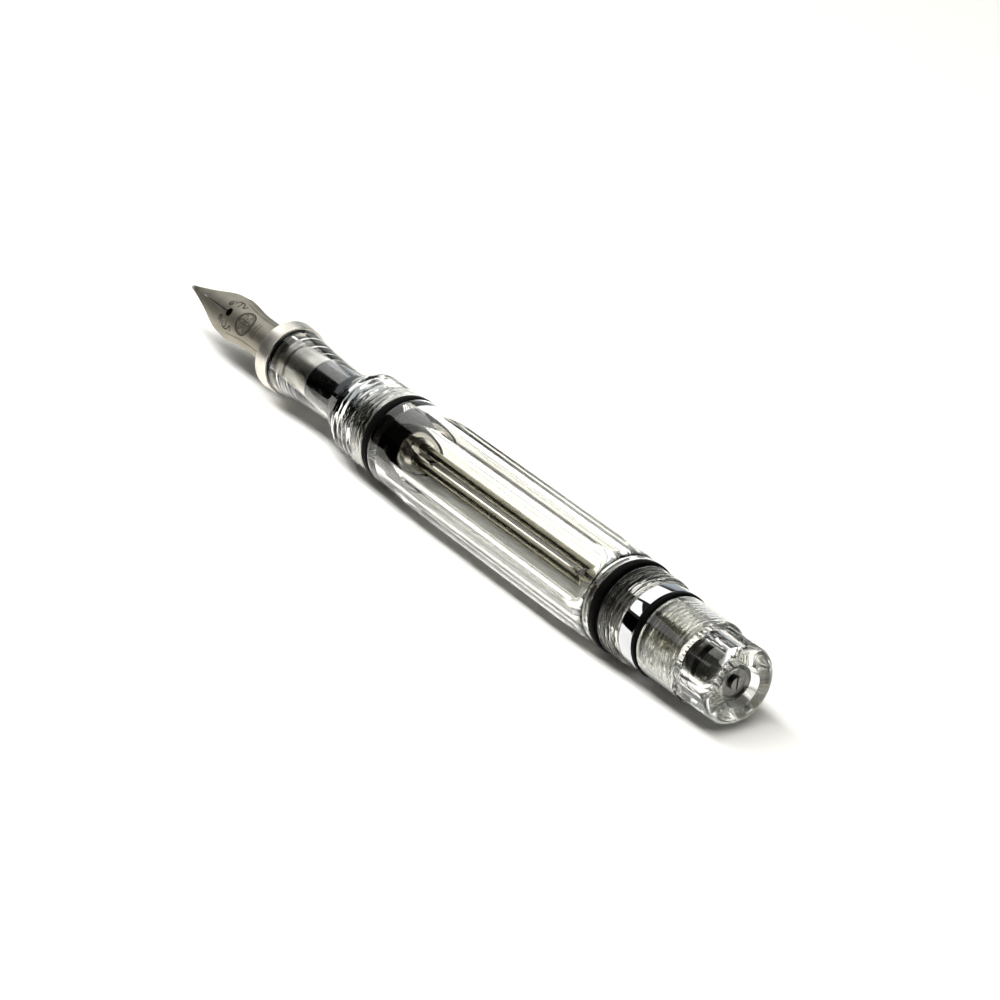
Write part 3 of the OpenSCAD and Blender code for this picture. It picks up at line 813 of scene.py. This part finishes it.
def nib_half(s):
    """Half width of the nib at a station."""
    start = span("nib")[0]
    t = np.clip((s - start) / (SHOULDER_S - start), 0.0, 1.0)
    bulge = np.sin(np.radians(180 * t ** 2.4)) ** 2
    tines = TIP_W + (SHOULDER_W - TIP_W) * (t - 0.028 * np.sin(np.radians(180 * t)) + 0.125 * bulge)
    shank = BACK_W + (SHOULDER_W - BACK_W) * (1 - ease((s - SHOULDER_S) / 6))
    return np.where(s < SHOULDER_S, tines, shank)


def nib_gap(s):
    """Half width of the slit and of the breather hole at a station."""
    hole = np.sqrt(np.maximum(0.0, BREATHER_R ** 2 - (s - BREATHER_S) ** 2))
    slit = SLIT_HALF * (0.2 + 0.8 * ease((s - 2) / 8))
    return np.where(s < BREATHER_S, np.maximum(slit, hole), hole)


def stroke(distance, width):
    """Depth of an engraved line, from 0 beside it to 1 at its middle."""
    return 1 - ease(np.abs(distance) / width)


def rosette(ds, dv):
    """Two rings with ticks between them, round six petals and a small ring."""
    r = np.hypot(ds, dv)
    angle = np.arctan2(dv, ds)
    rings = np.maximum(stroke(r - 1.85, 0.17), 0.8 * stroke(r - 1.55, 0.12))
    petals = stroke(r - 0.95 - 0.38 * np.cos(6 * angle), 0.17) * (r < 1.5)
    ticks = (0.5 + 0.5 * np.cos(26 * angle)) ** 2 * (r > 1.58) * (r < 1.8)
    return np.maximum.reduce([rings, 0.9 * petals, 0.7 * ticks, stroke(r - 0.28, 0.11)])


def engraving(s, v):
    """Depth of a generic ornament at a station and a distance v from the slit along the surface.

    It has a rosette, scrolls beside the breather hole, a border and two short cross lines.
    """
    across = np.abs(v)
    cut = rosette(s - ROSETTE_S, v)
    for centre_s, centre_v, radius, first, last in SCROLLS:
        a = np.arctan2(across - centre_v, s - centre_s)
        inside = ((a - first) % (2 * math.pi)) < ((last - first) % (2 * math.pi))
        away = np.hypot(s - centre_s, across - centre_v) - radius
        cut = np.maximum(cut, 0.9 * stroke(away, 0.17) * inside)
    border = nib_half(s) - 0.42 - across
    along = ease((s - 13.2) / 0.8) * (1 - ease((s - 22.5) / 1.0))
    cut = np.maximum(cut, 0.75 * stroke(border, 0.11) * along)
    lines = np.maximum(stroke(s - 19.7, 0.1), stroke(s - 20.3, 0.1)) * (across < 1.3)
    return np.maximum(cut, 0.8 * lines)


def nib_stations():
    """Stations of the nib's rows, with extra ones round the breather hole."""
    first, last = span("nib")
    fine = np.arange(first, NIB_FINE_END, 0.07)
    hole = BREATHER_S - BREATHER_R * np.cos(np.linspace(0, math.pi, 25))
    coarse = np.linspace(NIB_FINE_END, last, 16)
    clear = np.abs(fine - BREATHER_S) > BREATHER_R + 0.03
    return np.unique(np.round(np.concatenate([fine[clear], hole, coarse]), 5))


def edge_angle(width, curve):
    """Angle round the nib's cross curve at which it has the half width."""
    return np.arcsin(np.minimum(0.999, width / curve))


def nib_half_grid(stations, side, depth):
    """Points of one half of the nib, and how dark each is: dark in engraved lines, and painted shade on
    the edge row beside the slit and the breather hole.
    """
    curve = nib_curve(stations)
    inner = edge_angle(nib_gap(stations), curve)
    outer = edge_angle(nib_half(stations), curve)
    share = np.linspace(0, 1, NIB_COLUMNS)
    a = inner[:, None] + (outer - inner)[:, None] * share[None, :]
    s = np.broadcast_to(stations[:, None], a.shape)
    cut = engraving(s, side * curve[:, None] * a) if depth == 0 else np.zeros(a.shape)
    r = curve[:, None] - depth - ENGRAVED * cut
    up = (nib_top(stations) - curve)[:, None] + r * np.cos(a)
    left = side * r * np.sin(a)
    dark = np.array(cut)
    # Painted shade: the edge row beside the slit and the breather hole is coloured fully dark
    dark[stations < BREATHER_S + BREATHER_R, 0] = 1.0
    return np.stack([s, left, up], -1).reshape(-1, 3), dark.reshape(-1)


def rolled(points, roll):
    """Points turned about the axis, so that up leans towards -Y by the roll."""
    out = np.array(points, float)
    c = math.cos(roll)
    n = math.sin(roll)
    out[:, 1] = points[:, 1] * c - points[:, 2] * n
    out[:, 2] = points[:, 1] * n + points[:, 2] * c
    return out


def nib_half_faces(rows, top, under, joined):
    """Faces of one half: its top and underside, the edges between them, and both ends."""
    faces = []
    for i in range(rows - 1):
        for j in range(NIB_COLUMNS - 1):
            for base in (top, under):
                a = base + i * NIB_COLUMNS + j
                faces.append((a, a + 1, a + NIB_COLUMNS + 1, a + NIB_COLUMNS))
        edges = [NIB_COLUMNS - 1] if joined[i] and joined[i + 1] else [0, NIB_COLUMNS - 1]
        for j in edges:
            a = top + i * NIB_COLUMNS + j
            b = under + i * NIB_COLUMNS + j
            faces.append((a, a + NIB_COLUMNS, b + NIB_COLUMNS, b))
    for i in (0, rows - 1):
        for j in range(NIB_COLUMNS - 1):
            a = top + i * NIB_COLUMNS + j
            b = under + i * NIB_COLUMNS + j
            faces.append((a, a + 1, b + 1, b))
    return faces


def soften_edges(piece, degrees, width_mm):
    """A narrow bevel on every edge sharper than the angle."""
    bevel = piece.modifiers.new("soft_edges", "BEVEL")
    bevel.limit_method = "ANGLE"
    bevel.angle_limit = math.radians(degrees)
    bevel.width = width_mm * MM
    bevel.segments = 2


def nib():
    """Slit, curved sheet with an engraved ornament; the halves join behind the breather hole."""
    stations = nib_stations()
    rows = len(stations)
    half_points = rows * NIB_COLUMNS
    joined = stations >= BREATHER_S + BREATHER_R - TINY
    points = []
    darkness = []
    faces = []
    for side in (1, -1):
        top = len(points) * half_points
        for depth in (0, NIB_SHEET):
            grid, dark = nib_half_grid(stations, side, depth)
            points.append(grid)
            darkness.append(dark)
        faces += nib_half_faces(rows, top, top + half_points, joined)
    verts = to_world(rolled(np.concatenate(points), NIB_ROLL))
    mesh = bpy.data.meshes.new("nib_engraved")
    mesh.from_pydata([tuple(v) for v in verts], [], faces)
    # The attribute holds how dark each point is: engraved lines, and painted shade along the slit and the
    # breather hole
    engraved = mesh.attributes.new("engraved", "FLOAT", "POINT")
    engraved.data.foreach_set("value", np.concatenate(darkness))
    shape = bmesh.new()
    shape.from_mesh(mesh)
    bmesh.ops.remove_doubles(shape, verts=shape.verts, dist=NIB_JOIN)
    bmesh.ops.recalc_face_normals(shape, faces=shape.faces)
    shape.to_mesh(mesh)
    shape.free()
    mesh.shade_smooth()
    piece = linked("nib_engraved", mesh)
    soften_edges(piece, degrees=55, width_mm=0.035)
    weighted_normals(piece)
    return stands_for(piece, "nib")


def tipping():
    """Hard bead on the nib's point, a little flattened and grooved in line with the slit."""
    low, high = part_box("nib_tipping")
    centre = (low + high) / 2
    radius = (high.x - low.x) / 2
    groove_width = 0.05 * MM
    shape = bmesh.new()
    bmesh.ops.create_icosphere(shape, subdivisions=4, radius=radius)
    for v in shape.verts:
        groove = math.exp(-(v.co.y / groove_width) ** 2)
        v.co.y *= 0.94
        v.co *= 1 - 0.16 * groove
    shape.transform(Matrix.Translation(centre) @ Matrix.Rotation(NIB_ROLL, 4, "X"))
    mesh = bpy.data.meshes.new("nib_bead")
    shape.to_mesh(mesh)
    shape.free()
    mesh.shade_smooth()
    return stands_for(linked("nib_bead", mesh), "nib_tipping")


# ---------------------------------------------------------------- carried-over CAD nodes

def dress_cad_nodes():
    """Materials for every CAD node, and softened edges for those that no piece replaces."""
    for name, node in NODES.items():
        node.data.materials.clear()
        node.data.materials.append(MATERIALS[SLOT_OF[name]])
        if not node.hide_render:
            soften_edges(node, degrees=40, width_mm=0.03)


# ---------------------------------------------------------------- studio

CARD_HEIGHT = 0.03


def floor():
    """A broad pale sheet just under the pen."""
    half = 4.0
    drop = 0.00002
    corners = [(-half, -half, -drop), (half, -half, -drop), (half, half, -drop), (-half, half, -drop)]
    mesh = bpy.data.meshes.new("floor")
    mesh.from_pydata(corners, [], [(0, 1, 2, 3)])
    mesh.materials.append(floor_material())
    sheet = linked("floor", mesh)


def softbox(name, centre, size, radiance, seen_by, tilt=0.0, colour=(1, 1, 1)):
    """A soft rectangular light that faces down, tilted about X, and is seen by one kind of ray only."""
    width, height = size
    data = bpy.data.lights.new(name, "AREA")
    data.shape = "RECTANGLE"
    data.size = width
    data.size_y = height
    data.energy = radiance * math.pi * width * height
    data.color = colour
    lamp = linked(name, data)
    lamp.location = centre
    lamp.rotation_euler = (math.radians(tilt), 0, 0)
    lamp.visible_camera = False
    lamp.visible_diffuse = seen_by == "diffuse"
    lamp.visible_glossy = seen_by == "glossy"
    lamp.visible_transmission = seen_by == "transmission"


def dark_card(name, x0, x1, y, glow=0.0, mirrors=True):
    """A dark upright card beside the pen.

    The camera never sees it. It darkens what clear parts show, and with mirrors also what shiny ones do:
    painted shade standing in for the dark floor and room beside the pen. With glow it shines dim grey
    instead, a painted glow from a card that is no lamp.
    """
    corners = [(x0, y, 0), (x1, y, 0), (x1, y, CARD_HEIGHT), (x0, y, CARD_HEIGHT)]
    mesh = bpy.data.meshes.new(name)
    mesh.from_pydata(corners, [], [(0, 1, 2, 3)])
    m = Nodes(name)
    m.set(Base_Color=(0.002, 0.002, 0.002, 1), Roughness=0.9, Specular_IOR_Level=0.0)
    m.set(Emission_Color=(1.0, 0.97, 0.9, 1), Emission_Strength=glow)
    mesh.materials.append(m.material)
    card = linked(name, mesh)
    card.visible_camera = False
    card.visible_diffuse = False
    card.visible_glossy = mirrors
    card.visible_shadow = False


def lights_and_cards():
    """Lights for matt surfaces, and lights and cards that only clear or shiny parts show."""
    # Paper and pen: a long strip in front and above, which throws the shadow, and a weak warm ceiling
    softbox("key_strip", (-0.35, -0.29, 0.8), (2.4, 0.3), 9.8, "diffuse", colour=(1.0, 0.985, 0.95))
    softbox("room_fill", (0.0, 0.0, 3.0), (16.0, 16.0), 0.185, "diffuse", colour=(1.0, 0.95, 0.82))
    # One panel beyond the nib, once for clear and once for shiny parts: two lights in the same place
    # hide one another, so these stand 20 mm apart
    softbox("far_panel", (-1.03, 0.25, 0.82), (1.34, 1.1), 1.15, "transmission")
    softbox("far_mirror", (-1.03, 0.25, 0.84), (1.34, 1.1), 1.6, "glossy")
    # Close to the grip and the barrel
    softbox("side_panel", (-0.0425, -0.063, 0.0665), (0.065, 0.064), 1.5, "glossy")
    softbox("back_fill", (-0.02, 0.045, 0.03), (0.09, 0.06), 1.15, "transmission", tilt=-90)
    softbox("collar_fill", (-0.0605, 0.012, 0.015), (0.029, 0.03), 1.15, "transmission", tilt=-90)
    # Cards of painted shade that only reflections and the clear parts show; the knob's card glows dim
    # grey, a painted glow
    dark_card("side_card", -0.5, 0.3, -0.05)
    dark_card("grip_card", -0.042, -0.01, -0.012, mirrors=False)
    dark_card("knob_card", 0.03, 0.058, -0.012, glow=0.12, mirrors=False)


def ramped(tree, value, start, end):
    """A smooth ramp of the value, 0 at start and 1 at end."""
    node = tree.nodes.new("ShaderNodeMapRange")
    node.interpolation_type = "SMOOTHSTEP"
    node.inputs["From Min"].default_value = start
    node.inputs["From Max"].default_value = end
    tree.links.new(value, node.inputs["Value"])
    return node.outputs["Result"]


def world():
    """A dark room with a pale blue-grey wall low down beyond the pen. It doesn't light matt surfaces."""
    room = (0.02, 0.019, 0.016, 1)
    wall = (0.5, 0.55, 0.57, 1)
    wall_side = (-0.35, 1.0, 0.0)
    sky = bpy.data.worlds.new("studio")
    bpy.context.scene.world = sky
    sky.use_nodes = True
    sky.cycles_visibility.diffuse = False
    tree = sky.node_tree
    coords = tree.nodes.new("ShaderNodeTexCoord")
    split = tree.nodes.new("ShaderNodeSeparateXYZ")
    tree.links.new(coords.outputs["Generated"], split.inputs[0])
    toward = tree.nodes.new("ShaderNodeVectorMath")
    toward.operation = "DOT_PRODUCT"
    toward.inputs[1].default_value = wall_side
    tree.links.new(coords.outputs["Generated"], toward.inputs[0])
    both = tree.nodes.new("ShaderNodeMath")
    both.operation = "MULTIPLY"
    tree.links.new(ramped(tree, toward.outputs["Value"], start=0.0, end=0.25), both.inputs[0])
    tree.links.new(ramped(tree, split.outputs["Z"], start=0.5, end=0.3), both.inputs[1])
    mix = tree.nodes.new("ShaderNodeMix")
    mix.data_type = "RGBA"
    mix.inputs[COLOUR_A].default_value = room
    mix.inputs[COLOUR_B].default_value = wall
    tree.links.new(both.outputs[0], mix.inputs["Factor"])
    tree.links.new(mix.outputs[COLOUR_OUT], tree.nodes["Background"].inputs["Color"])


def camera():
    """The photograph's view: long lens, from behind and above the knob."""
    place = Vector((0.34947, -0.24940, 0.20661))
    right = Vector((0.5569, 0.82526, 0.09403)).normalized()
    back = Vector((0.7254, -0.53831, 0.42892)).normalized()
    up = back.cross(right).normalized()
    turn = Matrix((right, up, back)).transposed()
    data = bpy.data.cameras.new("camera")
    data.sensor_width = 36.0
    data.lens = 129.6
    data.clip_start = 0.01
    data.clip_end = 50.0
    eye = linked("camera", data)
    eye.matrix_world = Matrix.Translation(place) @ turn.to_4x4()
    bpy.context.scene.camera = eye


def light_paths():
    """Enough bounces for the clear walls behind one another, and plain colours."""
    scene = bpy.context.scene
    scene.view_settings.view_transform = "Standard"
    scene.cycles.max_bounces = 32
    scene.cycles.transmission_bounces = 28
    scene.cycles.glossy_bounces = 12
    scene.cycles.diffuse_bounces = 4
    scene.cycles.transparent_max_bounces = 16


# ---------------------------------------------------------------- the pen and its studio

camera()
barrel()
grip()
coupling()
knob()
oring("front_oring_rubber", "front_oring", inner_r=5.23)
oring("rear_oring_rubber", "rear_oring", inner_r=5.42)
oring("knob_oring_rubber", "knob_oring", inner_r=4.7)
oring("insert_oring_rubber", "insert_oring", inner_r=2.02)
plunger_seal()
nib_collar()
inner_sleeve()
trim_ring()
trim_gasket()
plunger_nut()
seal_washer()
plunger_rod()
rod_guide()
chrome_ring()
knob_insert()
knob_disc()
nib()
tipping()
dress_cad_nodes()
floor()
lights_and_cards()
world()
light_paths()
